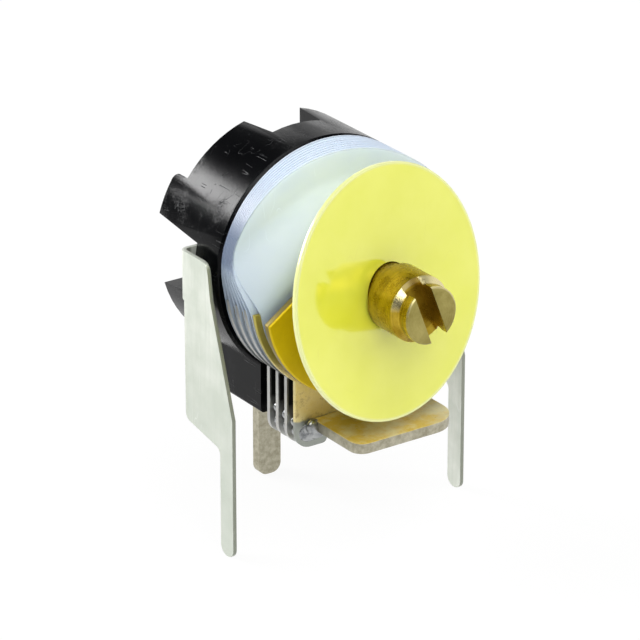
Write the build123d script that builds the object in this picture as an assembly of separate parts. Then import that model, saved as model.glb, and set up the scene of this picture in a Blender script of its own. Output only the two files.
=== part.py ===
from build123d import *
import math
import os

# Trimmer capacitor with a turned brass adjuster, for a printed circuit board. All sizes in millimetres.
# X runs to the right, Y to the rear along the adjuster, Z up. The origin lies between the tips of the
# two side pins, so the board's pin grid is the frame.

# Pin grid and overall places
GRID = 2.54
AXIS_HEIGHT = 10.1
REAR_PIN_SETBACK = 2 * GRID

# Moulded housing
HOUSING_RADIUS = 4.6
HOUSING_WALL = 0.95
HOUSING_FRONT = 1.35
HOUSING_EDGE_CHAMFER = 0.1
WEB_THICKNESS = 1.45
CROWN_DEPTH = 1.83
NOTCH_WIDTH = 2.1
NOTCH_DRAFT = 6
SHALLOW_NOTCH_DEPTH = 1.6
NUB_HEIGHT = 0.78
NUB_START_ANGLE = 37
NUB_ROUND = 0.3
LOW_TOOTH_RISE = 0.5
FOOT_WIDTH = 5.5
FOOT_DEPTH = 2.85
FOOT_DROP = 0.95
FOOT_EDGE_ROUND = 0.15

# Stator plates, their tabs and the terminal plate that the tabs are soldered into
PLATE_PITCH = 0.55
STATOR_COUNT = 4
STATOR_REAR_CENTRE = 0.95
STATOR_THICKNESS = 0.17
STATOR_INSET = 0.16
STATOR_BORE_RADIUS = 2.0
STATOR_EDGE_DROP = 0.55
TAB_OUTER = 2.68
TAB_WIDTH = 1.38
TAB_LENGTH = 0.7
TAB_OUTER_ROUND = 0.65
TAB_INNER_ROUND = 0.2
STATOR_SEAT_WIDTH = 2.1
TERMINAL_THICKNESS = 0.4
TERMINAL_LEFT = 1.95
TERMINAL_RIGHT = 2.6
TERMINAL_FRONT = 3.65
TERMINAL_LEFT_ROUND = 0.5
TERMINAL_RIGHT_ROUND = 1.1
TERMINAL_TONGUE_WIDTH = 3.6
TERMINAL_SHOULDER = 1.25
REAR_PIN_WIDTH = 0.98
SOLDER_BULGE = 0.36
SOLDER_HEIGHT = 0.7
SOLDER_ROUND = 0.3

# Film discs: flat between the plates below, gathered against the housing above
FILM_THICKNESS = 0.05
FILM_INSET = 0.18
FRONT_FILM_INSET = 0.2
FILM_BUNDLE_REAR = 1.3
FILM_BUNDLE_PITCH = 0.09
FILM_BEND_LENGTH = 1.1

# Rotor bracket: one strip across the back of the housing, folded forward into the two side legs
STRIP_THICKNESS = 0.16
STRIP_HEIGHT = 1.92
STRIP_EYE_RADIUS = 2.3
STRIP_BEND_RADIUS = 0.15
PIN_WIDTH = 0.82
PIN_LENGTH = 4.1
PIN_TIP_ROUND = 0.38
LEG_HEAD_LENGTH = 1.36
LEG_TAPER_LENGTH = 4.2
LEG_SHOULDER_RISE = 0.42
LEG_SHOULDER_ROUND = 0.3
LEG_NECK_FRONT = 0.95
LEG_HEAD_FRONT = 1.15
LEG_HEAD_ROUND = 0.4

# Rotor: turned shaft, plates, spacers and what holds them together
SHAFT_TIP = 5.3
SHAFT_RADIUS = 1.24
SHAFT_SEAT_RADIUS = 1.05
SHAFT_CORE_RADIUS = 0.95
SHAFT_END_RADIUS = 1.08
SHAFT_END_LENGTH = 0.35
SHAFT_CHAMFER = 0.04
GROOVE_RADIUS = 1.0
GROOVE_LENGTH = 0.4
SLOT_WIDTH = 0.72
SLOT_DEPTH = 0.78
SLOT_ANGLE = -21
ROTOR_INSET = 0.24
ROTOR_HUB_RADIUS = 1.8
ROTOR_CORNER_DROP = 0.75
ROTOR_THICKNESS = 0.17
END_PLATE_REAR = 1.2
END_PLATE_THICKNESS = 0.3
END_PLATE_CHAMFER = 0.05
SPACER_RADIUS = 1.5
SPRING_RADIUS = 2.1
SPRING_THICKNESS = 0.15
SPRING_RISE = 0.34
RETAINER_RADIUS = 1.7
RETAINER_THICKNESS = 0.15
RIVET_RADIUS = 1.45
RIVET_THICKNESS = 0.45

# Loose cover disc, which sits askew on the shaft
COVER_OVERHANG = 0.05
COVER_THICKNESS = 0.18
COVER_MIDDLE = 2.68
COVER_LEAN_BACK = 0.18
COVER_SKEW = 0.19
COVER_TO_SHOULDER = 0.5

# Fits
RUNNING_FIT = 0.04
PLATE_FIT = 0.02
SLOT_FIT = 0.03
FILM_BORE_FIT = 0.1

# Sizes and places that follow from the ones above
SIDE_PIN_SPACING = 2 * GRID * math.ceil((HOUSING_RADIUS + STRIP_THICKNESS) / GRID)
FILM_RADIUS = HOUSING_RADIUS - FILM_INSET
STATOR_RADIUS = HOUSING_RADIUS - STATOR_INSET
FRONT_FILM_RADIUS = STATOR_RADIUS - FRONT_FILM_INSET
ROTOR_RADIUS = HOUSING_RADIUS - ROTOR_INSET
COVER_RADIUS = HOUSING_RADIUS + COVER_OVERHANG
WEB_REAR = HOUSING_FRONT + WEB_THICKNESS
CROWN_REAR = WEB_REAR + CROWN_DEPTH
FOOT_BOTTOM = AXIS_HEIGHT - HOUSING_RADIUS - FOOT_DROP
TERMINAL_TOP = FOOT_BOTTOM + TERMINAL_THICKNESS
STRIP_REAR = WEB_REAR + STRIP_THICKNESS
SPRING_REAR = STRIP_REAR + PLATE_FIT + SPRING_THICKNESS + SPRING_RISE
RETAINER_REAR = SPRING_REAR + RETAINER_THICKNESS
END_PLATE_FRONT = END_PLATE_REAR + END_PLATE_THICKNESS
STATOR_CENTRES = [STATOR_REAR_CENTRE - i * PLATE_PITCH for i in range(STATOR_COUNT)]
ROTOR_CENTRES = [y - PLATE_PITCH / 2 for y in STATOR_CENTRES[:-1]]


def facing_front(y):
    """A sketch plane at depth y that faces the viewer, with its middle on the shaft's axis."""
    return Plane(origin=(0, y, AXIS_HEIGHT), x_dir=(1, 0, 0), z_dir=(0, -1, 0))


def slab(outline, rear, front):
    """The outline as a plate that runs from its rear face forward to its front face."""
    return extrude(facing_front(rear) * outline, amount=rear - front)


def turned(profile):
    """A solid of revolution about the shaft's axis, from points of radius and depth."""
    section = make_face(Polyline(*profile, close=True))
    return Pos(0, 0, AXIS_HEIGHT) * revolve(section, axis=Axis.Y)


def rectangle_between(left, right, low, high):
    """A rectangle given by its four sides."""
    return Pos((left + right) / 2, (low + high) / 2) * Rectangle(right - left, high - low)


def make_housing():
    inner_radius = HOUSING_RADIUS - HOUSING_WALL
    drum = slab(Circle(HOUSING_RADIUS), CROWN_REAR, HOUSING_FRONT)
    drum = chamfer(drum.edges().group_by(Axis.Y)[0], HOUSING_EDGE_CHAMFER)
    foot_outline = rectangle_between(-FOOT_WIDTH / 2, FOOT_WIDTH / 2, FOOT_BOTTOM - AXIS_HEIGHT, 0)
    foot = slab(foot_outline, HOUSING_FRONT + FOOT_DEPTH, HOUSING_FRONT)
    foot = fillet(foot.edges().filter_by(Axis.Y).group_by(Axis.Z)[0], FOOT_EDGE_ROUND)
    hollow = slab(Circle(inner_radius), CROWN_REAR + NUB_HEIGHT, WEB_REAR)
    nub = make_rise(NUB_START_ANGLE, 0, NUB_HEIGHT, inner_radius)
    nub = fillet(nub.faces().sort_by(Axis.Y)[-1].edges().filter_by(GeomType.LINE), NUB_ROUND)
    body = drum + nub + make_rise(0, -90, LOW_TOOTH_RISE, inner_radius) + foot
    body -= hollow
    for angle in (0, 90, 180, 270):
        body -= make_notch(angle, inner_radius)
    body -= slab(Circle(SHAFT_CORE_RADIUS + RUNNING_FIT), WEB_REAR, HOUSING_FRONT)
    return body - make_tongue(SLOT_FIT)


def make_rise(start, end, height, inner_radius):
    """A taller stretch of the crown between two angles, counted in degrees up from the left side."""
    reach = 2 * HOUSING_RADIUS
    corners = [(-reach * math.cos(a), reach * math.sin(a)) for a in (math.radians(start), math.radians(end))]
    wedge = make_face(Polyline((0, 0), *corners, close=True))
    return slab((Circle(HOUSING_RADIUS) - Circle(inner_radius)) & wedge, CROWN_REAR + height, CROWN_REAR)


def make_notch(angle, inner_radius):
    """The cutter for one crown notch, wider to the rear. The side ones go down to the web for the strip."""
    floor = CROWN_REAR - (CROWN_DEPTH if angle in (0, 180) else SHALLOW_NOTCH_DEPTH)
    rear = CROWN_REAR + 2 * NUB_HEIGHT
    half = NOTCH_WIDTH / 2
    wide_half = half + (rear - floor) * math.tan(math.radians(NOTCH_DRAFT))
    section = make_face(Polyline(
        (floor, -half), (floor, half), (rear, wide_half), (rear, -wide_half), close=True
    ))
    inner = inner_radius - HOUSING_WALL
    cutter = extrude(Plane.YZ.offset(inner) * section, amount=HOUSING_RADIUS + PLATE_FIT - inner)
    return Pos(0, 0, AXIS_HEIGHT) * cutter.rotate(Axis((0, 0, 0), (0, -1, 0)), angle)


def make_tongue(clearance=0.0):
    """The part of the terminal plate that lies in the groove under the housing's foot."""
    half = TERMINAL_TONGUE_WIDTH / 2 + clearance
    front = HOUSING_FRONT - TERMINAL_SHOULDER
    rear = REAR_PIN_SETBACK - TERMINAL_THICKNESS / 2
    return Pos(0, (front + rear) / 2, FOOT_BOTTOM) * Box(
        2 * half,
        rear - front,
        TERMINAL_THICKNESS + clearance,
        align=(Align.CENTER, Align.CENTER, Align.MIN),
    )


def make_stator_terminal():
    """The plate under the stators, with a slot for each tab and a tongue that turns down as the rear pin."""
    rear = HOUSING_FRONT - RUNNING_FIT
    outline = rectangle_between(-TERMINAL_LEFT, TERMINAL_RIGHT, -TERMINAL_FRONT, rear)
    outline = fillet(outline.vertices().group_by(Axis.Y)[0].sort_by(Axis.X)[0], TERMINAL_LEFT_ROUND)
    outline = fillet(outline.vertices().group_by(Axis.Y)[0].sort_by(Axis.X)[-1], TERMINAL_RIGHT_ROUND)
    plate = extrude(Plane.XY.offset(FOOT_BOTTOM) * outline, amount=TERMINAL_THICKNESS)
    bend = TERMINAL_THICKNESS / 2
    pin_rear = REAR_PIN_SETBACK + bend
    half = REAR_PIN_WIDTH / 2
    pin_outline = rectangle_between(-half, half, -AXIS_HEIGHT, TERMINAL_TOP - AXIS_HEIGHT)
    pin_outline = fillet(pin_outline.vertices().group_by(Axis.Y)[0], PIN_TIP_ROUND)
    pin = slab(pin_outline, pin_rear, pin_rear - TERMINAL_THICKNESS)
    part = plate + make_tongue() + pin
    slot_end = TAB_WIDTH - TAB_OUTER + SLOT_FIT
    for y in STATOR_CENTRES:
        part -= Pos(slot_end, y, TERMINAL_TOP) * Box(
            2 * TAB_WIDTH,
            STATOR_THICKNESS + 2 * SLOT_FIT,
            3 * TERMINAL_THICKNESS,
            align=(Align.MAX, Align.CENTER, Align.CENTER),
        )
    outer_bend = part.edges().filter_by(Axis.X).filter_by_position(Axis.Z, TERMINAL_TOP, TERMINAL_TOP)
    return fillet(outer_bend.sort_by(Axis.Y)[-1], bend)


def make_stator_plate(centre):
    """A lower half disc with an open hub, a seat on the terminal plate and one tab through it."""
    low = TERMINAL_TOP - AXIS_HEIGHT
    half_disc = Circle(STATOR_RADIUS) & rectangle_between(
        -STATOR_RADIUS, STATOR_RADIUS, -STATOR_RADIUS, -STATOR_EDGE_DROP
    )
    seat = rectangle_between(-TAB_OUTER, STATOR_SEAT_WIDTH - TAB_OUTER, low, -STATOR_RADIUS / 2)
    tab_inner = TAB_WIDTH - TAB_OUTER
    tab_low = low - TERMINAL_THICKNESS - TAB_LENGTH
    tab = rectangle_between(-TAB_OUTER, tab_inner, tab_low, low + TERMINAL_THICKNESS)
    corners = tab.vertices().group_by(Axis.Y)[0].sort_by(Axis.X)
    tab = fillet(corners[0], TAB_OUTER_ROUND)
    tab = fillet(tab.vertices().group_by(Axis.Y)[0].sort_by(Axis.X)[-1], TAB_INNER_ROUND)
    outline = half_disc + seat + tab - Circle(STATOR_BORE_RADIUS)
    return slab(outline, centre + STATOR_THICKNESS / 2, centre - STATOR_THICKNESS / 2)


def make_tab_solder():
    """The solder on the terminal plate's left edge, in front of each tab."""
    beads = []
    gap = PLATE_PITCH - STATOR_THICKNESS
    for y in STATOR_CENTRES:
        front_face = y - STATOR_THICKNESS / 2
        bead = Pos(-TERMINAL_LEFT, front_face - gap / 2, TERMINAL_TOP - TERMINAL_THICKNESS / 2) * Box(
            2 * SOLDER_BULGE, gap, SOLDER_HEIGHT
        )
        bead = fillet(bead.edges().filter_by(Axis.Y), SOLDER_ROUND)
        beads.append(bead.split(Plane.YZ.offset(-TERMINAL_LEFT), keep=Keep.BOTTOM))
    return beads


def distance_past_edge(point):
    """How far a point of the left half lies above the rotor's sloping top edge."""
    corner, shoulder = rotor_top_edge()
    run = shoulder[0] - corner[0]
    rise = shoulder[1] - corner[1]
    return (run * (point[1] - corner[1]) - rise * (point[0] - corner[0])) / math.hypot(run, rise)


def film_section(flat, gathered, inner):
    """A film cut across its fold, as depth against distance past the rotor's top edge."""
    stator_corner = (-math.sqrt(STATOR_RADIUS ** 2 - STATOR_EDGE_DROP ** 2), -STATOR_EDGE_DROP)
    bend_start = distance_past_edge(stator_corner) + PLATE_FIT
    bend_end = bend_start + FILM_BEND_LENGTH
    half = FILM_THICKNESS / 2
    path = [(flat, inner), (flat, bend_start), (gathered, bend_end), (gathered, 2 * FILM_RADIUS)]
    front = [(depth - half, distance) for depth, distance in path]
    rear = [(depth + half, distance) for depth, distance in path]
    return make_face(Polyline(*front, *reversed(rear), close=True))


def make_film_disc(radius, flat, gathered):
    """A film that lies flat up to the rotor's top edges and hub, and leans back beyond them."""
    corner, shoulder = rotor_top_edge()
    fold = Plane(
        origin=(shoulder[0], 0, AXIS_HEIGHT + shoulder[1]),
        x_dir=(0, 1, 0),
        z_dir=(shoulder[0] - corner[0], 0, shoulder[1] - corner[1]),
    )
    left = extrude(fold * film_section(flat, gathered, -2 * FILM_RADIUS), amount=-2 * FILM_RADIUS)
    over_hub = revolve(
        fold * film_section(flat, gathered, -ROTOR_HUB_RADIUS / 2),
        axis=Axis((0, 0, AXIS_HEIGHT), (0, 1, 0)),
        revolution_arc=2 * math.degrees(math.atan2(-shoulder[0], shoulder[1])),
    )
    sheet = left + over_hub + mirror(left, about=Plane.YZ)
    ring = Circle(radius) - Circle(SPACER_RADIUS + FILM_BORE_FIT)
    return sheet & slab(ring, HOUSING_FRONT, -END_PLATE_REAR)


def make_film_discs():
    """One film behind each stator plate and one in front of it. The foremost is a little smaller."""
    offset = STATOR_THICKNESS / 2 + PLATE_FIT + FILM_THICKNESS / 2
    flat = [y + side * offset for y in STATOR_CENTRES for side in (1, -1)]
    gathered = [FILM_BUNDLE_REAR - i * FILM_BUNDLE_PITCH for i in range(len(flat))]
    radii = [FILM_RADIUS] * (len(flat) - 1) + [FRONT_FILM_RADIUS]
    return [make_film_disc(*sizes) for sizes in zip(radii, flat, gathered)]


def leg_outline():
    """One side leg seen from the side, as points of depth and height."""
    half = PIN_WIDTH / 2
    rear = STRIP_REAR - STRIP_THICKNESS - STRIP_BEND_RADIUS
    top = AXIS_HEIGHT + STRIP_HEIGHT / 2
    neck = top - LEG_HEAD_LENGTH
    outline = make_face(Polyline(
        (-half, 0),
        (-half, neck - LEG_TAPER_LENGTH),
        (LEG_NECK_FRONT, neck),
        (LEG_HEAD_FRONT, top),
        (rear, top),
        (rear, PIN_LENGTH + LEG_SHOULDER_RISE),
        (half, PIN_LENGTH),
        (half, 0),
        close=True,
    ))
    outline = fillet(outline.vertices().group_by(Axis.Y)[0], PIN_TIP_ROUND)
    for corner in ((rear, PIN_LENGTH + LEG_SHOULDER_RISE), (half, PIN_LENGTH)):
        outline = fillet(outline.vertices().sort_by_distance(corner)[0], LEG_SHOULDER_ROUND)
    head = outline.vertices().group_by(Axis.Y)[-1].sort_by(Axis.X)[0]
    return fillet(head, LEG_HEAD_ROUND)


def make_rotor_bracket():
    """The strip across the back, its two bends and the two legs, as one stamped and folded piece."""
    outer = SIDE_PIN_SPACING / 2 + STRIP_THICKNESS / 2
    bend = STRIP_BEND_RADIUS + STRIP_THICKNESS
    straight = outer - bend
    height = STRIP_HEIGHT / 2
    strip = rectangle_between(-straight, straight, -height, height) + Circle(STRIP_EYE_RADIUS)
    bracket = slab(strip - Circle(SHAFT_CORE_RADIUS + RUNNING_FIT), STRIP_REAR, WEB_REAR)
    level = Plane.XY.offset(AXIS_HEIGHT - height)
    for side in (-1, 1):
        centre = Pos(side * straight, STRIP_REAR - bend)
        quarter = rectangle_between(min(0, side * bend), max(0, side * bend), 0, bend)
        ring = (Circle(bend) - Circle(STRIP_BEND_RADIUS)) & quarter
        bracket += extrude(level * (centre * ring), amount=STRIP_HEIGHT)
        leg = extrude(Plane.YZ * leg_outline(), amount=STRIP_THICKNESS / 2, both=True)
        bracket += Pos(side * SIDE_PIN_SPACING / 2, 0, 0) * leg
    return bracket


def rotor_top_edge():
    """The rotor's left top edge, from its corner on the rim to where it touches the hub."""
    corner = (-math.sqrt(ROTOR_RADIUS ** 2 - ROTOR_CORNER_DROP ** 2), -ROTOR_CORNER_DROP)
    angle = math.atan2(corner[1], corner[0]) - math.acos(ROTOR_HUB_RADIUS / ROTOR_RADIUS)
    return corner, (ROTOR_HUB_RADIUS * math.cos(angle), ROTOR_HUB_RADIUS * math.sin(angle))


def rotor_outline():
    """A lower half disc whose top edges rise to the hub."""
    corner, shoulder = rotor_top_edge()
    half_disc = Circle(ROTOR_RADIUS) & rectangle_between(
        -ROTOR_RADIUS, ROTOR_RADIUS, -ROTOR_RADIUS, -ROTOR_CORNER_DROP
    )
    shoulders = make_face(Polyline(
        corner, shoulder, (-shoulder[0], shoulder[1]), (-corner[0], corner[1]), close=True
    ))
    return half_disc + shoulders + Circle(ROTOR_HUB_RADIUS) - Circle(SHAFT_CORE_RADIUS)


def make_rotor_plate(centre):
    return slab(rotor_outline(), centre + ROTOR_THICKNESS / 2, centre - ROTOR_THICKNESS / 2)


def make_rotor_end_plate():
    plate = slab(rotor_outline(), -END_PLATE_REAR, -END_PLATE_FRONT)
    front_rim = plate.faces().sort_by(Axis.Y)[0].outer_wire().edges()
    return chamfer(front_rim, END_PLATE_CHAMFER)


def make_spacers():
    """The rings that hold the rotor plates apart, from the housing forward to the end plate."""
    half = ROTOR_THICKNESS / 2
    rears = [HOUSING_FRONT - PLATE_FIT] + [y - half for y in ROTOR_CENTRES]
    fronts = [y + half for y in ROTOR_CENTRES] + [-END_PLATE_REAR]
    ring = Circle(SPACER_RADIUS) - Circle(SHAFT_CORE_RADIUS)
    return [slab(ring, rear, front) for rear, front in zip(rears, fronts)]


def make_rotor_shaft():
    """The turned shaft: slotted end, groove, shoulder for the cover, core and the riveted rear end."""
    lip = -SHAFT_TIP + SHAFT_END_LENGTH
    shoulder = -COVER_MIDDLE - COVER_TO_SHOULDER
    rivet_rear = RETAINER_REAR + RIVET_THICKNESS
    shaft = turned([
        (0, -SHAFT_TIP),
        (SHAFT_END_RADIUS - SHAFT_CHAMFER, -SHAFT_TIP),
        (SHAFT_END_RADIUS, -SHAFT_TIP + SHAFT_CHAMFER),
        (SHAFT_END_RADIUS, lip),
        (GROOVE_RADIUS, lip + GROOVE_LENGTH / 4),
        (GROOVE_RADIUS, lip + GROOVE_LENGTH / 2),
        (SHAFT_RADIUS, lip + GROOVE_LENGTH),
        (SHAFT_RADIUS, shoulder),
        (SHAFT_SEAT_RADIUS, shoulder),
        (SHAFT_SEAT_RADIUS, -END_PLATE_FRONT),
        (SHAFT_CORE_RADIUS, -END_PLATE_FRONT),
        (SHAFT_CORE_RADIUS, RETAINER_REAR),
        (RIVET_RADIUS, RETAINER_REAR),
        (RIVET_RADIUS, RETAINER_REAR + RIVET_THICKNESS / 2),
        (SHAFT_CORE_RADIUS, rivet_rear),
        (0, rivet_rear),
    ])
    slot = Pos(0, -SHAFT_TIP, AXIS_HEIGHT) * Rot(0, SLOT_ANGLE, 0) * Box(
        SLOT_WIDTH, 2 * SLOT_DEPTH, 3 * SHAFT_RADIUS
    )
    return shaft - slot


def make_spring_washer():
    """A coned washer that presses the strip forward and carries the current to the shaft."""
    seat = STRIP_REAR + PLATE_FIT
    inner = SHAFT_CORE_RADIUS
    return turned([
        (SPRING_RADIUS, seat),
        (SPRING_RADIUS, seat + SPRING_THICKNESS),
        (inner, SPRING_REAR),
        (inner, SPRING_REAR - SPRING_THICKNESS),
    ])


def make_retaining_washer():
    ring = Circle(RETAINER_RADIUS) - Circle(SHAFT_CORE_RADIUS)
    return slab(ring, RETAINER_REAR, SPRING_REAR)


def make_cover_disc():
    """A thin disc pushed onto the shaft askew, furthest back at its upper right."""
    face = Plane(
        origin=(0, -COVER_MIDDLE, AXIS_HEIGHT),
        z_dir=(COVER_SKEW, -1, COVER_LEAN_BACK),
    )
    disc = extrude(face * Circle(COVER_RADIUS), amount=COVER_THICKNESS / 2, both=True)
    return disc - slab(Circle(SHAFT_SEAT_RADIUS + PLATE_FIT), -END_PLATE_FRONT, -SHAFT_TIP)


def numbered(name, shapes):
    """Names for a row of like pieces, counted from the rear forward."""
    return {f"{name}_{i}": shape for i, shape in enumerate(shapes, 1)}


def build_nodes():
    nodes = {
        "housing": make_housing(),
        "rotor_bracket": make_rotor_bracket(),
        "stator_terminal": make_stator_terminal(),
        "tab_solder": Compound(children=make_tab_solder()),
        "rotor_shaft": make_rotor_shaft(),
        "rotor_end_plate": make_rotor_end_plate(),
        "spring_washer": make_spring_washer(),
        "retaining_washer": make_retaining_washer(),
        "cover_disc": make_cover_disc(),
    }
    nodes.update(numbered("stator_plate", [make_stator_plate(y) for y in STATOR_CENTRES]))
    nodes.update(numbered("film_disc", make_film_discs()))
    nodes.update(numbered("rotor_plate", [make_rotor_plate(y) for y in ROTOR_CENTRES]))
    nodes.update(numbered("rotor_spacer", make_spacers()))
    return nodes


os.makedirs("parts", exist_ok=True)
for node_name, node_shape in build_nodes().items():
    export_step(node_shape, os.path.join("parts", node_name + ".step"))
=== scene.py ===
import math

import bmesh
import bpy
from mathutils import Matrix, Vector


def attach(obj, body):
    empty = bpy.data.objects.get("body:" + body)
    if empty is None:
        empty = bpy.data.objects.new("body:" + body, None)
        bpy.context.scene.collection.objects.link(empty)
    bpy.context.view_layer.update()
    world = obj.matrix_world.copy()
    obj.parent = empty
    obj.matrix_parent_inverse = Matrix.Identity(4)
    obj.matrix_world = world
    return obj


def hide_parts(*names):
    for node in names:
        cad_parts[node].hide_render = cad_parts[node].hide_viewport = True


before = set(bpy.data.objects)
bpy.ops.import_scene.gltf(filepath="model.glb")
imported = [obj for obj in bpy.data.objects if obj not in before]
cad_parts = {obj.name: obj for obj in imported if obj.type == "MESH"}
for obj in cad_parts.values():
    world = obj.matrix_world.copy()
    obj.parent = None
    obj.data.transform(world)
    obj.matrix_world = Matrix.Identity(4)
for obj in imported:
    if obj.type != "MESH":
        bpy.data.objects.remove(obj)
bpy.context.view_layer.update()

# Trimmer capacitor on a plain pale floor. Blender works in metres; the named sizes here are in
# millimetres, in the frame of the board's pin grid, and MM turns them into metres.
MM = 0.001
AXIS_HEIGHT = 10.1
LEG_INSIDE = 4.7
TERMINAL_TOP = 4.95
TERMINAL_BOTTOM = 4.55
TERMINAL_LEFT = -1.95
TAB_LEFT = -2.68
TAB_RIGHT = -1.3
COVER_MIDDLE = -2.68
COVER_RADIUS = 4.65
END_PLATE_FRONT = -1.46

# The adjuster's slotted end, with the taper behind its groove as distances from the tip, the radius from
# which its taper and rim are painted as a highlight, and the radius within which its slot is painted dark as
# shade
SHAFT_TIP = -5.3
SHAFT_TAPER_FRONT = 0.5
SHAFT_TAPER_REAR = 0.8
SHAFT_HIGHLIGHT_RADIUS = 1.0
SHAFT_SLOT_SHADE_RADIUS = 0.88

# Stator plates, with the films on both sides of each
STATOR_FIRST = 0.95
STATOR_PITCH = 0.55
STATOR_COUNT = 4
STATOR_THICKNESS = 0.17
FRONT_TAB_FACE = STATOR_FIRST - (STATOR_COUNT - 1) * STATOR_PITCH - STATOR_THICKNESS / 2
FILM_TO_STATOR = 0.13
FILM_THICKNESS = 0.07
FILM_RADIUS = 4.6
FILM_FLAT_RADIUS = 4.44
FRONT_FILM_FLAT_RADIUS = 4.2
FILM_BORE = 1.6
FILM_BUNDLE_REAR = 1.18
FILM_LEFT_PITCH = 0.07
FILM_RIGHT_PITCH = 0.3
FILM_FOLD_START = 0.1
FILM_FOLD_END = 1.9
FILM_RIPPLE = 0.03
FILM_STEPS_ROUND = 144
FILM_STEPS_OUT = 25
WELD_GAP = 0.001

# The rotor's sloping top edges, which the films fold back over
ROTOR_HUB_RADIUS = 1.8
ROTOR_EDGE_SLOPE = 34.3

# Edges that turn by more than this are rounded on the softened copies, in degrees
SHARP_ANGLE = 32

# The camera that took the photograph
CAMERA_AZIMUTH = -34.63
CAMERA_ELEVATION = 23.52
CAMERA_DISTANCE = 150
CAMERA_TARGET = Vector((-1.075, 0, 8.313))
CAMERA_LENS = 234.9
SENSOR_WIDTH = 36

# Soft lamps: place, width and height in millimetres, and power in watts
LAMPS = {
    "key": ((-90, -150, 170), (150, 110), 0.24),
    "back_strip": ((-103, 151, 88), (120, 40), 0.36),
    "front_right": ((150, -170, 130), (120, 120), 0.1),
    "overhead": ((10, -70, 230), (150, 110), 0.2),
}

# Brightness of the surroundings: as light on the part, and at the dimmest and brightest in reflections
WORLD_LIGHT = 0.46
REFLECTED_DIM = 0.06
REFLECTED_BRIGHT = 0.96

# The floor: half its width, and how much of what the camera sees of it is its own glow
FLOOR_REACH = 1200
FLOOR_GLOW = 0.93


class Wire:
    """One output of a node. Arithmetic on wires and numbers adds Math nodes to its tree."""

    def __init__(self, socket):
        self.socket = socket
        self.tree = socket.id_data

    def math(self, operation, *others):
        return math_node(self.tree, operation, self, *others)

    def __add__(self, other):
        return self.math("ADD", other)

    def __sub__(self, other):
        return self.math("SUBTRACT", other)

    def __rsub__(self, other):
        return math_node(self.tree, "SUBTRACT", other, self)

    def __mul__(self, other):
        return self.math("MULTIPLY", other)

    def __truediv__(self, other):
        return self.math("DIVIDE", other)

    __radd__ = __add__
    __rmul__ = __mul__

    def clamped(self):
        return self.math("MAXIMUM", 0).math("MINIMUM", 1)

    def between(self, low, high, smooth=False):
        """Runs from 0 to 1 as this value goes from low to high, and stays there outside."""
        kind = "SMOOTHSTEP" if smooth else "LINEAR"
        inputs = {"Value": self, "From Min": low, "From Max": high}
        return add_node(self.tree, "ShaderNodeMapRange", {"clamp": True, "interpolation_type": kind}, inputs)


def math_node(tree, operation, *values):
    return add_node(tree, "ShaderNodeMath", {"operation": operation}, dict(enumerate(values)))


def add_node(tree, kind, settings=None, inputs=None, output=0):
    """Adds a node: its type, its settings, then the values or links of its sockets."""
    node = tree.nodes.new(kind)
    for name, value in (settings or {}).items():
        setattr(node, name, value)
    for name, value in (inputs or {}).items():
        if isinstance(value, Wire):
            tree.links.new(value.socket, node.inputs[name])
        else:
            node.inputs[name].default_value = value
    return Wire(node.outputs[output])


class Finish:
    """A material with one Principled shader, patterned on the object's own coordinates."""

    def __init__(self, name, **uniform):
        self.material = bpy.data.materials.new(name)
        self.material.use_nodes = True
        self.tree = self.material.node_tree
        self.shader = self.tree.nodes["Principled BSDF"]
        for socket, value in uniform.items():
            self.shader.inputs[socket.replace("_", " ")].default_value = value

    def node(self, kind, settings=None, inputs=None, output=0):
        return add_node(self.tree, kind, settings, inputs, output)

    def place(self, centre=(0, 0, 0), stretch=(1, 1, 1)):
        """Object coordinates in millimetres, moved so that the centre is at zero."""
        where = self.node("ShaderNodeTexCoord", output="Object")
        scale = tuple(s / MM for s in stretch)
        shift = tuple(-c * s for c, s in zip(centre, stretch))
        inputs = {"Vector": where, "Location": shift, "Scale": scale}
        return self.node("ShaderNodeMapping", {"vector_type": "POINT"}, inputs)

    def axes(self, centre=(0, 0, 0)):
        """The three object coordinates in millimetres, as three wires."""
        where = self.place(centre)
        return [self.node("ShaderNodeSeparateXYZ", None, {0: where}, output=i) for i in range(3)]

    def noise(self, scale, detail=3, roughness=0.55, stretch=(1, 1, 1), centre=(0, 0, 0), distortion=0.0):
        inputs = {
            "Vector": self.place(centre, stretch), "Scale": scale, "Detail": detail,
            "Roughness": roughness, "Distortion": distortion,
        }
        return self.node("ShaderNodeTexNoise", None, inputs)

    def scratches(self, scale, stretch, width=0.012, distortion=0.4):
        """Thin broken lines, where a stretched noise passes through its middle value."""
        raw = self.noise(scale, detail=1, stretch=stretch, distortion=distortion)
        off_middle = (raw - 0.5).math("ABSOLUTE")
        broken = self.noise(scale * 0.6, detail=2).between(0.54, 0.64)
        return (1 - off_middle.between(0, width)) * broken

    def blend(self, amount, first, second):
        """A colour that goes from the first to the second as the amount goes from 0 to 1."""
        inputs = {0: amount}
        for slot, colour in ((6, first), (7, second)):
            inputs[slot] = colour if isinstance(colour, Wire) else (*colour, 1)
        return self.node("ShaderNodeMix", {"data_type": "RGBA"}, inputs, output=2)

    def bump(self, height, strength, depth):
        """A bump whose full height is the depth in millimetres."""
        inputs = {"Height": height, "Strength": strength, "Distance": depth * MM}
        return self.node("ShaderNodeBump", None, inputs)

    def drive(self, **sockets):
        """Links what varies over the surface to the shader's sockets."""
        for socket, value in sockets.items():
            self.tree.links.new(value.socket, self.shader.inputs[socket.replace("_", " ")])
        return self.material


def linear(red, green, blue):
    """A colour read off a screen, from 0 to 255, as the light it stands for."""
    shares = (red / 255, green / 255, blue / 255)
    return tuple(((s + 0.055) / 1.055) ** 2.4 if s > 0.04 else s / 12.92 for s in shares)


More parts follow.
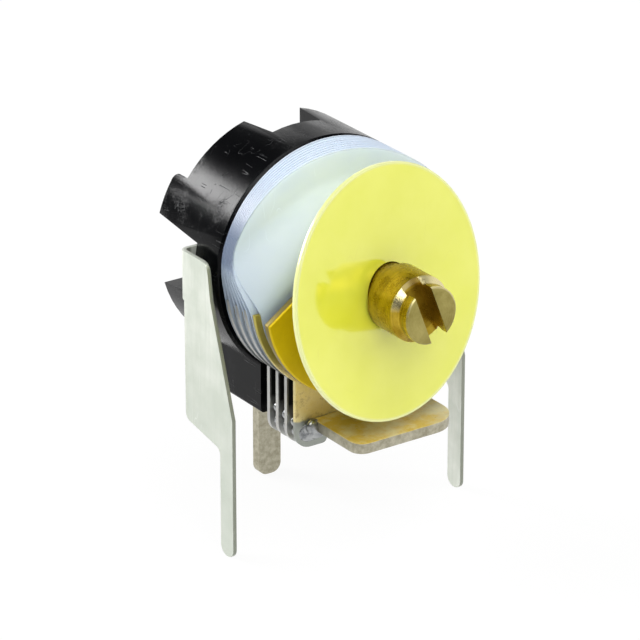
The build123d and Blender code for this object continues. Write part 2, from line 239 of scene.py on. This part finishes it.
def moulded_black():
    """Black moulding with a shine, long scratches, scuffs and dust, and pitted worn patches greyed partly as
    a painted sheen.
    """
    finish = Finish("moulded_black", Specular_IOR_Level=0.12)
    cloud = finish.noise(0.5, detail=4)
    grain = finish.noise(14, detail=3)
    pits = finish.noise(15, detail=6, roughness=0.8, stretch=(1, 0.5, 1)).between(0.5, 0.66)
    # Worn, pitted patches, greyed partly by dust in the pits and partly as a painted sheen
    wear_and_sheen_zone = finish.noise(0.55, detail=3, centre=(3, 1, 2)).between(0.5, 0.66)
    long_lines = finish.scratches(2.6, (1, 0.06, 1), width=0.008, distortion=0.1)
    cross_lines = finish.scratches(2.0, (0.6, 1, 0.12), width=0.006, distortion=0.1)
    lines = (long_lines + cross_lines).clamped()
    pitted = pits * wear_and_sheen_zone
    base = finish.blend(cloud, linear(2, 2, 3), linear(8, 9, 11))
    dust_and_sheen = finish.blend(pitted * 0.25, base, linear(48, 50, 52))
    return finish.drive(
        Base_Color=finish.blend(lines * 0.3, dust_and_sheen, linear(84, 86, 88)),
        Roughness=0.16 + cloud * 0.08 + pitted * 0.16 + lines * 0.2,
        Normal=finish.bump(grain * 0.25 + pitted * 0.35 - lines * 0.6, 0.5, 0.025),
    )


def dull_tin():
    """Matt tin plate with drawn streaks and dark specks, duller low on the left leg and on sheared edges."""
    finish = Finish("dull_tin", Metallic=0.6, Specular_IOR_Level=0.4)
    cloud = finish.noise(0.7, detail=5)
    drawn = finish.noise(5, detail=4, stretch=(1, 1, 0.08))
    specks = finish.noise(6, detail=6, roughness=0.85).between(0.64, 0.74)
    lines = finish.scratches(1.8, (1, 1, 0.15))
    side, _, height = finish.axes()
    left_leg_low = (1 - height.between(4, 9)) * (1 - side.between(-4, 0))
    facing = finish.node("ShaderNodeTexCoord", output="Normal")
    forward = finish.node("ShaderNodeSeparateXYZ", None, {0: facing}, output=1)
    on_leg = side.math("ABSOLUTE").between(LEG_INSIDE, LEG_INSIDE + 0.1)
    sheared = on_leg * (0 - forward).between(0.6, 0.9)
    tone = finish.blend(cloud.between(0.35, 0.65), linear(205, 211, 199), linear(226, 229, 220))
    duller = finish.blend(left_leg_low * 0.6, tone, linear(186, 193, 182))
    streaked = finish.blend(drawn.between(0.45, 0.8) * 0.5, duller, linear(196, 202, 190))
    marked = finish.blend(lines * 0.4, streaked, linear(246, 247, 243))
    spotted = finish.blend(specks * 0.55, marked, linear(128, 126, 110))
    return finish.drive(
        Base_Color=finish.blend(sheared * 0.8, spotted, linear(118, 122, 108)),
        Roughness=0.42 + drawn * 0.14 + specks * 0.2,
        Normal=finish.bump(drawn * 0.5 + cloud * 0.5 - specks - lines, 0.4, 0.012),
    )


def clear_film():
    """Milky film: faintly cloudy, with handling marks, painted grey as shade low down and made more opaque as
    painted light towards the top; its cut edges are silver low down, painted dark blue as shade at middle
    height and pale as light at the top.
    """
    finish = Finish("clear_film", Specular_IOR_Level=0.45, IOR=1.45)
    cloud = finish.noise(0.4, detail=3)
    marks = finish.scratches(1.2, (1, 1, 0.4), width=0.008)
    side, _, height = finish.axes((0, 0, AXIS_HEIGHT))
    radius = (side * side + height * height).math("SQRT")
    edge = radius.between(FILM_RADIUS - 0.07, FILM_RADIUS - 0.02)
    clear = finish.blend(cloud.between(0.35, 0.65), linear(226, 240, 255), linear(234, 246, 255))
    # Low down the film is painted grey as shade; above that it keeps its clear lit tone
    shaded = finish.blend(height.between(-3.2, -0.8), linear(126, 128, 126), linear(178, 193, 210))
    tone = finish.blend(height.between(-0.6, 3.2), shaded, clear)
    # The cut edge is silver low down, painted dark blue as shade at middle height and pale as light at the
    # top
    edge_blue_shade = finish.blend(height.between(-1.6, -0.4), linear(186, 189, 194), linear(66, 82, 118))
    edge_shade_and_light = finish.blend(height.between(1.8, 3.8), edge_blue_shade, linear(226, 234, 246))
    return finish.drive(
        Base_Color=finish.blend(edge * 0.75, tone, edge_shade_and_light),
        Roughness=0.24 + cloud * 0.12 + marks * 0.2,
        # Towards the top the film is made more opaque, as painted light that brightens it there
        Alpha=0.66 + height.between(0, 3.5) * 0.09 - edge * 0.2 + marks * 0.1,
        Normal=finish.bump(cloud, 0.25, 0.05),
    )


def yellow_cover():
    """Glossy yellow film with its rim painted pale as a highlight on the cut edge, fine dust and long soft
    waves.
    """
    finish = Finish(
        "yellow_cover", Specular_IOR_Level=1.0, IOR=1.5, Coat_Weight=0.7, Coat_Roughness=0.03, Coat_IOR=1.5,
    )
    where = finish.place((0, COVER_MIDDLE, AXIS_HEIGHT))
    radius = finish.node("ShaderNodeVectorMath", {"operation": "LENGTH"}, {0: where}, output="Value")
    cloud = finish.noise(0.45, detail=3)
    dust = finish.noise(9, detail=5, roughness=0.85).between(0.66, 0.76)
    lines = finish.scratches(1.0, (1, 1, 0.3), width=0.006)
    # The band at the rim is painted pale cream as a highlight, and made rougher
    rim = radius.between(COVER_RADIUS - 0.16, COVER_RADIUS - 0.04, smooth=True)
    field = finish.blend(cloud.between(0.3, 0.7), linear(210, 213, 58), linear(216, 218, 80))
    marked = finish.blend(dust * 0.3 + lines * 0.25, field, linear(198, 192, 70))
    return finish.drive(
        Base_Color=finish.blend(rim * 0.7, marked, linear(214, 218, 160)),
        Roughness=0.09 + cloud * 0.06 + dust * 0.15 + rim * 0.2,
        Normal=finish.bump(cloud, 0.03, 0.03),
    )


def turned_brass():
    """Golden brown brass with turning marks, a taper and rim painted pale as a highlight on the upper side,
    and painted shade in its slot.
    """
    finish = Finish("turned_brass", Metallic=1.0)
    side, depth, height = finish.axes((0, 0, AXIS_HEIGHT))
    radius = (side * side + height * height).math("SQRT")
    rings = finish.noise(9, detail=6, roughness=0.75, stretch=(0.03, 1, 0.03))
    patches = finish.noise(1.6, detail=5, roughness=0.65)
    face = (SHAFT_TIP + 0.03 - depth).between(-0.02, 0.0)
    arcs = (radius * 60 + patches * 6).math("SINE")
    tone = finish.blend(patches.between(0.3, 0.7), linear(158, 128, 22), linear(208, 178, 62))
    behind_tip = depth - SHAFT_TIP
    past_front = behind_tip.between(SHAFT_TAPER_FRONT, SHAFT_TAPER_FRONT + 0.04)
    past_rear = behind_tip.between(SHAFT_TAPER_REAR - 0.04, SHAFT_TAPER_REAR)
    # The taper and the rim of the end are painted pale cream as a highlight, on the upper side of the shaft
    # only
    taper = past_front * (1 - past_rear) * radius.between(SHAFT_HIGHLIGHT_RADIUS - 0.02, SHAFT_HIGHLIGHT_RADIUS + 0.04)
    rim = (1 - behind_tip.between(0.06, 0.1)) * radius.between(SHAFT_HIGHLIGHT_RADIUS, SHAFT_HIGHLIGHT_RADIUS + 0.05)
    painted_highlight = (taper * 0.85 + rim * 0.6) * height.between(0.15, 0.45)
    # Inside the slot the brass is painted darker as shade
    outside_slot = radius.between(SHAFT_SLOT_SHADE_RADIUS, SHAFT_SLOT_SHADE_RADIUS + 0.06)
    slot_shade = behind_tip.between(0.06, 0.12) * (1 - outside_slot)
    ringed = finish.blend(rings.between(0.42, 0.72) * 0.6, tone, linear(100, 78, 14))
    stained = finish.noise(2.6, detail=6, roughness=0.8).between(0.56, 0.7)
    darkened = finish.blend(stained * 0.45, ringed, linear(86, 68, 22))
    face_tone = finish.blend(patches.between(0.3, 0.7), linear(140, 128, 68), linear(176, 164, 100))
    two_tone = finish.blend(face, darkened, face_tone)
    shadowed = finish.blend(slot_shade * 0.5, two_tone, linear(98, 74, 10))
    return finish.drive(
        Base_Color=finish.blend(painted_highlight, shadowed, linear(240, 228, 172)),
        Roughness=0.2 + patches * 0.16 + stained * 0.14 + face * 0.12,
        Normal=finish.bump(rings * (1 - face) + arcs * 0.12 * face, 0.55, 0.022),
    )


def stamped_brass():
    """Deep yellow lacquered brass, painted darker and greyer as shade behind the end plate's front face, on
    its cut edges and on the rotor plates.
    """
    finish = Finish("stamped_brass", Metallic=0.6, Specular_IOR_Level=0.5)
    cloud = finish.noise(1.0, detail=5)
    grain = finish.noise(16, detail=4)
    stains = finish.noise(2.4, detail=6, roughness=0.75).between(0.58, 0.74)
    depth = finish.axes()[1]
    # Behind the end plate's front face, on its cut edges and on the rotor plates within, the brass is painted
    # dark as shade
    shade_behind_front = depth.between(END_PLATE_FRONT, END_PLATE_FRONT + 0.03)
    tone = finish.blend(cloud.between(0.3, 0.7), linear(196, 168, 4), linear(210, 183, 10))
    stained = finish.blend(stains * 0.4, tone, linear(162, 126, 8))
    return finish.drive(
        Base_Color=finish.blend(shade_behind_front * 0.85, stained, linear(104, 94, 58)),
        Roughness=0.3 + grain * 0.14 + stains * 0.1,
        Normal=finish.bump(grain, 0.2, 0.012),
    )


def plate_metal():
    """Silver plated sheet, scuffed, with brass showing through; the tab faces between the tabs are painted
    near black and rougher as shade in the narrow gaps.
    """
    finish = Finish("plate_metal", Metallic=0.9)
    side, depth, height = finish.axes()
    tab_face = side.between(TAB_LEFT + 0.03, TAB_LEFT + 0.08) * (1 - side.between(TAB_RIGHT, TAB_RIGHT + 0.2))
    # The tab faces between the tabs are painted near black as shade in the narrow gaps
    gap_shade = tab_face * height.between(TERMINAL_TOP, TERMINAL_TOP + 0.5) * (1 - height.between(7.0, 7.6))
    cloud = finish.noise(1.6, detail=5)
    grain = finish.noise(18, detail=4)
    bare = finish.noise(2.2, detail=6, roughness=0.7).between(0.52, 0.66)
    tone = finish.blend(cloud, linear(166, 167, 166), linear(208, 208, 204))
    plated = finish.blend(bare * 0.2, tone, linear(176, 160, 104))
    return finish.drive(
        Base_Color=finish.blend(gap_shade * 0.97, plated, linear(16, 15, 13)),
        Roughness=0.26 + grain * 0.18 + gap_shade * 0.3,
        Normal=finish.bump(grain + bare * 0.3, 0.25, 0.012),
    )


def front_plate_metal():
    """The foremost stator: tarnished brown gold above the board of the terminal, grey below it."""
    finish = Finish("front_plate_metal", Metallic=0.7)
    cloud = finish.noise(1.5, detail=6, roughness=0.7)
    grain = finish.noise(16, detail=4)
    stains = finish.noise(3.0, detail=6, roughness=0.8).between(0.5, 0.66)
    height = finish.axes()[2]
    low = (TERMINAL_TOP - 0.1 + cloud * 0.2 - height).between(-0.04, 0.04)
    rim = height.between(7.2, 7.8)
    gold = finish.blend(cloud.between(0.3, 0.7), linear(222, 202, 126), linear(242, 228, 172))
    stained = finish.blend(stains * 0.6, gold, linear(138, 106, 52))
    olive = finish.blend(rim, stained, linear(186, 172, 84))
    return finish.drive(
        Base_Color=finish.blend(low, olive, linear(152, 156, 149)),
        Roughness=0.3 + grain * 0.14 + stains * 0.12,
        Normal=finish.bump(grain + stains * 0.4, 0.3, 0.012),
    )


def tarnished_plate():
    """Tin plate, silver on its edges and the pin; its top face is painted gold as a reflection of the yellow
    cover, pale silver towards its right end, with brown specks.
    """
    finish = Finish("tarnished_plate")
    cloud = finish.noise(0.9, detail=6, roughness=0.65)
    fine = finish.noise(4.5, detail=6, roughness=0.7)
    grain = finish.noise(16, detail=4)
    specks = finish.noise(7, detail=5, roughness=0.8, stretch=(0.3, 1, 1)).between(0.62, 0.72)
    side, _, height = finish.axes()
    # The top face is painted gold as a reflection of the yellow cover, with brown specks, and is less
    # metallic there
    top = height.between(TERMINAL_TOP - 0.02, TERMINAL_TOP - 0.004)
    paler_right_end = side.between(0.6, 3.4) * fine.between(0.3, 0.55)
    silver = finish.blend(fine.between(0.35, 0.65), linear(150, 145, 124), linear(192, 187, 167))
    gold = finish.blend(cloud.between(0.4, 0.6), linear(236, 204, 82), linear(252, 240, 180))
    painted_reflection = finish.blend(paler_right_end * 0.7, gold, linear(226, 221, 198))
    reflection_with_specks = finish.blend(specks * 0.7, painted_reflection, linear(122, 96, 30))
    return finish.drive(
        Base_Color=finish.blend(top, silver, reflection_with_specks),
        Metallic=0.85 - top * 0.5,
        Roughness=0.3 + fine * 0.16 + grain * 0.08,
        Normal=finish.bump(grain * 0.5 + fine * 0.5, 0.35, 0.02),
    )


def flowed_solder():
    """Bright solder with dull flux in its hollows, and darker in front of the foremost tab."""
    finish = Finish("flowed_solder", Metallic=1.0)
    cloud = finish.noise(2.5, detail=4)
    dull = finish.noise(4, detail=5, roughness=0.75).between(0.5, 0.66)
    # Darker and rougher in front of the foremost tab
    in_front_of_tab = (FRONT_TAB_FACE - finish.axes()[1]).between(-0.01, 0.02)
    tone = finish.blend(cloud.between(0.3, 0.7), linear(150, 152, 154), linear(206, 207, 206))
    stained = finish.blend(dull * 0.6, tone, linear(96, 100, 108))
    return finish.drive(
        Base_Color=finish.blend(in_front_of_tab * 0.35, stained, linear(104, 108, 110)),
        Roughness=0.14 + dull * 0.35 + in_front_of_tab * 0.16,
        Normal=finish.bump(cloud + dull * 0.4, 0.4, 0.03),
    )


def spring_steel():
    """Plain steel washers with rolling marks."""
    finish = Finish("spring_steel", Metallic=1.0)
    cloud = finish.noise(1.2, detail=5)
    rolled = finish.noise(10, detail=4, stretch=(0.1, 1, 1))
    return finish.drive(
        Base_Color=finish.blend(cloud, linear(168, 166, 158), linear(198, 197, 190)),
        Roughness=0.26 + rolled * 0.16,
        Normal=finish.bump(rolled, 0.25, 0.01),
    )


def new_piece(name, mesh, material, body, slot, *nodes):
    """Shows a mesh in place of CAD nodes, riding on their body."""
    piece = bpy.data.objects.new(name, mesh)
    bpy.context.collection.objects.link(piece)
    mesh.materials.clear()
    mesh.materials.append(material)
    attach(piece, body)
    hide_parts(*nodes)
    return piece


def with_modifiers(mesh, *modifiers):
    """The mesh after a stack of modifiers, each given as its type and settings."""
    carrier = bpy.data.objects.new("carrier", mesh)
    bpy.context.collection.objects.link(carrier)
    for kind, settings in modifiers:
        modifier = carrier.modifiers.new(kind.lower(), kind)
        for name, value in settings.items():
            setattr(modifier, name, value)
    graph = bpy.context.evaluated_depsgraph_get()
    result = bpy.data.meshes.new_from_object(carrier.evaluated_get(graph))
    bpy.data.objects.remove(carrier)
    return result


def smooth_by_angle(mesh, degrees=35):
    mesh.shade_smooth()
    mesh.set_sharp_from_angle(angle=math.radians(degrees))


def softened(node_name, width, segments=2):
    """A copy of a CAD node's mesh with its sharp edges rounded to the width.

    The copy's loose triangles are merged and its flat faces made whole before the rounding.
    """
    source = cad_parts[node_name].data
    mesh = bpy.data.meshes.new(node_name + "_softened")
    mesh.from_pydata([v.co for v in source.vertices], [], [tuple(p.vertices) for p in source.polygons])
    work = bmesh.new()
    work.from_mesh(mesh)
    flat_within = math.radians(0.5)
    bmesh.ops.remove_doubles(work, verts=work.verts, dist=WELD_GAP / 2 * MM)
    bmesh.ops.dissolve_limit(work, angle_limit=flat_within, verts=work.verts, edges=work.edges)
    bmesh.ops.recalc_face_normals(work, faces=work.faces)
    work.to_mesh(mesh)
    work.free()
    bevel = {
        "width": width * MM, "segments": segments, "limit_method": "ANGLE",
        "angle_limit": math.radians(SHARP_ANGLE), "use_clamp_overlap": True, "miter_outer": "MITER_ARC",
    }
    rounded = with_modifiers(mesh, ("BEVEL", bevel))
    smooth_by_angle(rounded)
    return with_modifiers(rounded, ("WEIGHTED_NORMAL", {"keep_sharp": True, "weight": 90}))


def film_nodes():
    """Geometry nodes for one film: a ring, flat below, that folds back past the rotor's top edges.

    A grid of angle by reach is bent into the ring, folded, drawn in a little where it is flat, and
    thickened into a closed sheet.
    """
    tree = bpy.data.node_groups.new("film", "GeometryNodeTree")
    for name in ("Radius", "Flat Radius", "Flat", "Left", "Right"):
        tree.interface.new_socket(name, in_out="INPUT", socket_type="NodeSocketFloat")
    tree.interface.new_socket("Material", in_out="INPUT", socket_type="NodeSocketMaterial")
    tree.interface.new_socket("Geometry", in_out="OUTPUT", socket_type="NodeSocketGeometry")
    entry = tree.nodes.new("NodeGroupInput")
    given = {socket.name: Wire(socket) for socket in entry.outputs if socket.name}
    sheet = add_node(tree, "GeometryNodeMeshGrid", None, {
        "Size X": 2 * math.pi, "Size Y": 1.0,
        "Vertices X": FILM_STEPS_ROUND + 1, "Vertices Y": FILM_STEPS_OUT + 1,
    })
    start = add_node(tree, "GeometryNodeInputPosition")
    angle = add_node(tree, "ShaderNodeSeparateXYZ", None, {0: start}, output=0)
    share = add_node(tree, "ShaderNodeSeparateXYZ", None, {0: start}, output=1) + 0.5
    reach = FILM_BORE + share * (given["Radius"] - FILM_BORE)
    across = reach * angle.math("SINE")
    up = reach * angle.math("COSINE")

    slope = math.radians(ROTOR_EDGE_SLOPE)
    off_middle = across.math("ABSOLUTE")
    over_edge = off_middle * math.sin(slope) + up * math.cos(slope)
    above_hub = (up * math.tan(slope)).math("GREATER_THAN", off_middle)
    distance = above_hub * reach + (1 - above_hub) * over_edge - ROTOR_HUB_RADIUS
    fold = distance.between(FILM_FOLD_START, FILM_FOLD_END, smooth=True)

    flat_share = given["Flat Radius"] / given["Radius"]
    growth = flat_share + fold * (1 - flat_share)
    scale = 1 - share * (1 - growth)
    side = across * scale
    height = up * scale
    spread = add_node(tree, "ShaderNodeCombineXYZ", None, {0: side, 2: height})
    wave = {"Vector": spread, "Scale": 0.45, "Detail": 1.0}
    ripple = add_node(tree, "ShaderNodeTexNoise", None, wave)
    to_right = (side / given["Radius"]) * 0.5 + 0.5
    gathered = given["Left"] + to_right * (given["Right"] - given["Left"])
    depth = given["Flat"] + fold * (gathered - given["Flat"]) + fold * (ripple - 0.5) * FILM_RIPPLE
    front = add_node(tree, "ShaderNodeCombineXYZ", None, {
        0: side * MM, 1: (depth - FILM_THICKNESS / 2) * MM, 2: (height + AXIS_HEIGHT) * MM,
    })
    placed = add_node(tree, "GeometryNodeSetPosition", None, {"Geometry": sheet, "Position": front})
    welded = add_node(tree, "GeometryNodeMergeByDistance", None, {
        "Geometry": placed, "Distance": WELD_GAP * MM,
    })
    step = add_node(tree, "ShaderNodeCombineXYZ", None, {1: FILM_THICKNESS * MM})
    raised = add_node(tree, "GeometryNodeExtrudeMesh", {"mode": "FACES"}, {
        "Mesh": welded, "Offset": step, "Offset Scale": 1.0, "Individual": False,
    })
    turned = add_node(tree, "GeometryNodeFlipFaces", None, {"Mesh": welded})
    joint = tree.nodes.new("GeometryNodeJoinGeometry")
    tree.links.new(raised.socket, joint.inputs[0])
    tree.links.new(turned.socket, joint.inputs[0])
    closed = add_node(tree, "GeometryNodeMergeByDistance", None, {
        "Geometry": Wire(joint.outputs[0]), "Distance": WELD_GAP * MM,
    })
    real = add_node(tree, "GeometryNodeRealizeInstances", None, {"Geometry": closed})
    dressed = add_node(tree, "GeometryNodeSetMaterial", None, {
        "Geometry": real, "Material": given["Material"],
    })
    exit_node = tree.nodes.new("NodeGroupOutput")
    tree.links.new(dressed.socket, exit_node.inputs[0])
    return tree


def film_mesh(tree, material, flat_radius, flat, left, right):
    """Runs the film nodes with the given sizes and keeps the mesh that they make."""
    carrier = bpy.data.objects.new("carrier", bpy.data.meshes.new("carrier"))
    bpy.context.collection.objects.link(carrier)
    modifier = carrier.modifiers.new("film", "NODES")
    modifier.node_group = tree
    values = {
        "Radius": FILM_RADIUS, "Flat Radius": flat_radius, "Flat": flat,
        "Left": left, "Right": right, "Material": material,
    }
    for item in tree.interface.items_tree:
        if item.in_out == "INPUT":
            modifier[item.identifier] = values[item.name]
    graph = bpy.context.evaluated_depsgraph_get()
    mesh = bpy.data.meshes.new_from_object(carrier.evaluated_get(graph))
    bpy.data.objects.remove(carrier)
    work = bmesh.new()
    work.from_mesh(mesh)
    bmesh.ops.recalc_face_normals(work, faces=work.faces)
    work.to_mesh(mesh)
    work.free()
    smooth_by_angle(mesh, 50)
    return mesh


def make_films(material):
    """A film behind each stator and one in front of it. Folded back, they fan out to the right."""
    tree = film_nodes()
    for number in range(2 * STATOR_COUNT):
        stator, in_front = divmod(number, 2)
        offset = -FILM_TO_STATOR if in_front else FILM_TO_STATOR
        flat = STATOR_FIRST - stator * STATOR_PITCH + offset
        left = FILM_BUNDLE_REAR - number * FILM_LEFT_PITCH
        right = FILM_BUNDLE_REAR - number * FILM_RIGHT_PITCH
        foremost = number == 2 * STATOR_COUNT - 1
        flat_radius = FRONT_FILM_FLAT_RADIUS if foremost else FILM_FLAT_RADIUS
        mesh = film_mesh(tree, material, flat_radius, flat, left, right)
        name = f"film_disc_{number + 1}"
        new_piece(name + "_sheet", mesh, material, "frame", "film", name)


def lump(work, centre, size):
    """Adds one solder lump: a ball stretched to the size, in millimetres."""
    ball = bmesh.ops.create_icosphere(work, subdivisions=3, radius=1.0)
    for vertex in ball["verts"]:
        vertex.co = Vector(c + s * v for c, s, v in zip(centre, size, vertex.co)) * MM


def make_solder(material):
    """Solder flowed between the tabs, over the terminal's left edge and down the front tab."""
    work = bmesh.new()
    low = (TERMINAL_TOP + TERMINAL_BOTTOM) / 2
    gap = STATOR_PITCH - STATOR_THICKNESS
    for number in range(STATOR_COUNT):
        front_face = STATOR_FIRST - number * STATOR_PITCH - STATOR_THICKNESS / 2
        middle = front_face - gap / 2
        lump(work, (TERMINAL_LEFT - 0.1, middle, low - 0.02), (0.3, gap * 0.5, 0.3))
        if number < STATOR_COUNT - 1:
            lump(work, (TAB_LEFT + 0.22, middle, low + 0.24 - 0.08 * number), (0.17, gap * 0.5, 0.2))
            lump(work, (TAB_LEFT + 0.3, middle + 0.04, low - 0.3), (0.2, gap * 0.5, 0.22))
    lump(work, (TAB_LEFT + 0.63, FRONT_TAB_FACE, low - 0.3), (0.5, 0.05, 0.4))
    lump(work, (TAB_LEFT + 0.93, FRONT_TAB_FACE - 0.06, low - 0.38), (0.34, 0.13, 0.24))
    mesh = bpy.data.meshes.new("solder")
    work.to_mesh(mesh)
    work.free()
    flowed = with_modifiers(
        mesh,
        ("REMESH", {"mode": "VOXEL", "voxel_size": 0.03 * MM}),
        ("SMOOTH", {"factor": 0.5, "iterations": 4}),
    )
    smooth_by_angle(flowed, 80)
    new_piece("tab_solder_flowed", flowed, material, "frame", "solder", "tab_solder")


def make_camera():
    data = bpy.data.cameras.new("camera")
    data.lens = CAMERA_LENS
    data.sensor_width = SENSOR_WIDTH
    data.clip_start = CAMERA_DISTANCE / 100 * MM
    data.clip_end = CAMERA_DISTANCE * 100 * MM
    camera = bpy.data.objects.new("camera", data)
    bpy.context.collection.objects.link(camera)
    azimuth = math.radians(CAMERA_AZIMUTH)
    elevation = math.radians(CAMERA_ELEVATION)
    back = Vector((
        math.sin(azimuth) * math.cos(elevation),
        -math.cos(azimuth) * math.cos(elevation),
        math.sin(elevation),
    ))
    camera.location = (CAMERA_TARGET + back * CAMERA_DISTANCE) * MM
    camera.rotation_euler = (math.pi / 2 - elevation, 0, azimuth)
    bpy.context.scene.camera = camera


def make_lamp(name, place, size, power):
    """A soft lamp, width by height in millimetres, that faces the part."""
    data = bpy.data.lights.new(name, "AREA")
    data.shape = "RECTANGLE"
    data.size, data.size_y = (side * MM for side in size)
    data.energy = power
    lamp = bpy.data.objects.new(name, data)
    bpy.context.collection.objects.link(lamp)
    lamp.location = Vector(place) * MM
    towards = CAMERA_TARGET * MM - lamp.location
    lamp.rotation_euler = towards.to_track_quat("-Z", "Y").to_euler()


def rays(tree, *kinds):
    """1 for rays of any of the kinds, 0 for the others."""
    found = [add_node(tree, "ShaderNodeLightPath", None, None, f"Is {kind} Ray") for kind in kinds]
    total = found[0]
    for other in found[1:]:
        total = total.math("MAXIMUM", other)
    return total


def make_floor():
    """A pale floor that the camera sees as white, apart from the part's soft shadow."""
    reach = FLOOR_REACH * MM
    mesh = bpy.data.meshes.new("floor")
    corners = [(-reach, -reach, 0), (reach, -reach, 0), (reach, reach, 0), (-reach, reach, 0)]
    mesh.from_pydata(corners, [], [(0, 1, 2, 3)])
    floor = bpy.data.objects.new("floor", mesh)
    bpy.context.collection.objects.link(floor)
    finish = Finish("floor_white", Roughness=0.9, Specular_IOR_Level=0.0)
    finish.shader.inputs["Base Color"].default_value = (0.85, 0.85, 0.85, 1)
    tree = finish.tree
    glow = add_node(tree, "ShaderNodeEmission", None, {"Color": (1, 1, 1, 1), "Strength": 1.0})
    seen = rays(tree, "Camera", "Transmission", "Glossy") * FLOOR_GLOW
    mix = add_node(tree, "ShaderNodeMixShader", None, {0: seen, 1: Wire(finish.shader.outputs[0]), 2: glow})
    tree.links.new(mix.socket, tree.nodes["Material Output"].inputs["Surface"])
    mesh.materials.append(finish.material)


def make_world():
    """White where the camera looks, softer as light, and in reflections dim high up and on the left."""
    world = bpy.data.worlds.new("studio")
    world.use_nodes = True
    tree = world.node_tree
    background = tree.nodes["Background"]
    background.inputs["Color"].default_value = (1, 1, 1, 1)
    seen = rays(tree, "Camera", "Transmission")
    glossy = rays(tree, "Glossy") * (1 - seen)
    towards = add_node(tree, "ShaderNodeTexCoord", output="Generated")
    side = add_node(tree, "ShaderNodeSeparateXYZ", None, {0: towards}, output=0)
    height = add_node(tree, "ShaderNodeSeparateXYZ", None, {0: towards}, output=2)
    on_right = side.between(0.0, 0.5, smooth=True)
    high_up = height.between(0.36, 0.7, smooth=True)
    reflected = REFLECTED_DIM + (REFLECTED_BRIGHT - REFLECTED_DIM) * on_right * (1 - high_up)
    strength = WORLD_LIGHT + (1 - WORLD_LIGHT) * seen + (reflected - WORLD_LIGHT) * glossy
    tree.links.new(strength.socket, background.inputs["Strength"])
    bpy.context.scene.world = world


bpy.context.scene.view_settings.view_transform = "Standard"

BLACK = moulded_black()
TIN = dull_tin()
FILM = clear_film()
COVER = yellow_cover()
SHAFT_BRASS = turned_brass()
ROTOR_BRASS = stamped_brass()
PLATE = plate_metal()
FRONT_PLATE = front_plate_metal()
TERMINAL = tarnished_plate()
SOLDER = flowed_solder()
STEEL = spring_steel()

# CAD nodes shown as softened copies: rounding in millimetres, material, body and slot
SOFTENED = {
    "housing": (0.05, BLACK, "frame", "moulding"),
    "rotor_bracket": (0.03, TIN, "frame", "tinned"),
    "stator_terminal": (0.05, TERMINAL, "frame", "terminal_metal"),
    "stator_plate_4": (0.02, FRONT_PLATE, "frame", "stator_metal"),
    "rotor_shaft": (0.025, SHAFT_BRASS, "rotor", "turned_brass"),
    "rotor_end_plate": (0.02, ROTOR_BRASS, "rotor", "rotor_brass"),
    "cover_disc": (0.03, COVER, "rotor", "cover"),
}

# Materials of the CAD nodes that are shown as they are, by the name of their family
FAMILY_MATERIAL = {
    "stator_plate": PLATE,
    "rotor_plate": ROTOR_BRASS,
    "rotor_spacer": SHAFT_BRASS,
    "spring_washer": STEEL,
    "retaining_washer": STEEL,
}

for name, (width, material, body, slot) in SOFTENED.items():
    new_piece(name + "_soft", softened(name, width), material, body, slot, name)
make_films(FILM)
make_solder(SOLDER)

for name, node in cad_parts.items():
    family = name.rstrip("0123456789").rstrip("_")
    if family in FAMILY_MATERIAL:
        for slot in node.material_slots:
            slot.material = FAMILY_MATERIAL[family]

make_camera()
for name, (place, size, power) in LAMPS.items():
    make_lamp(name, place, size, power)
make_floor()
make_world()
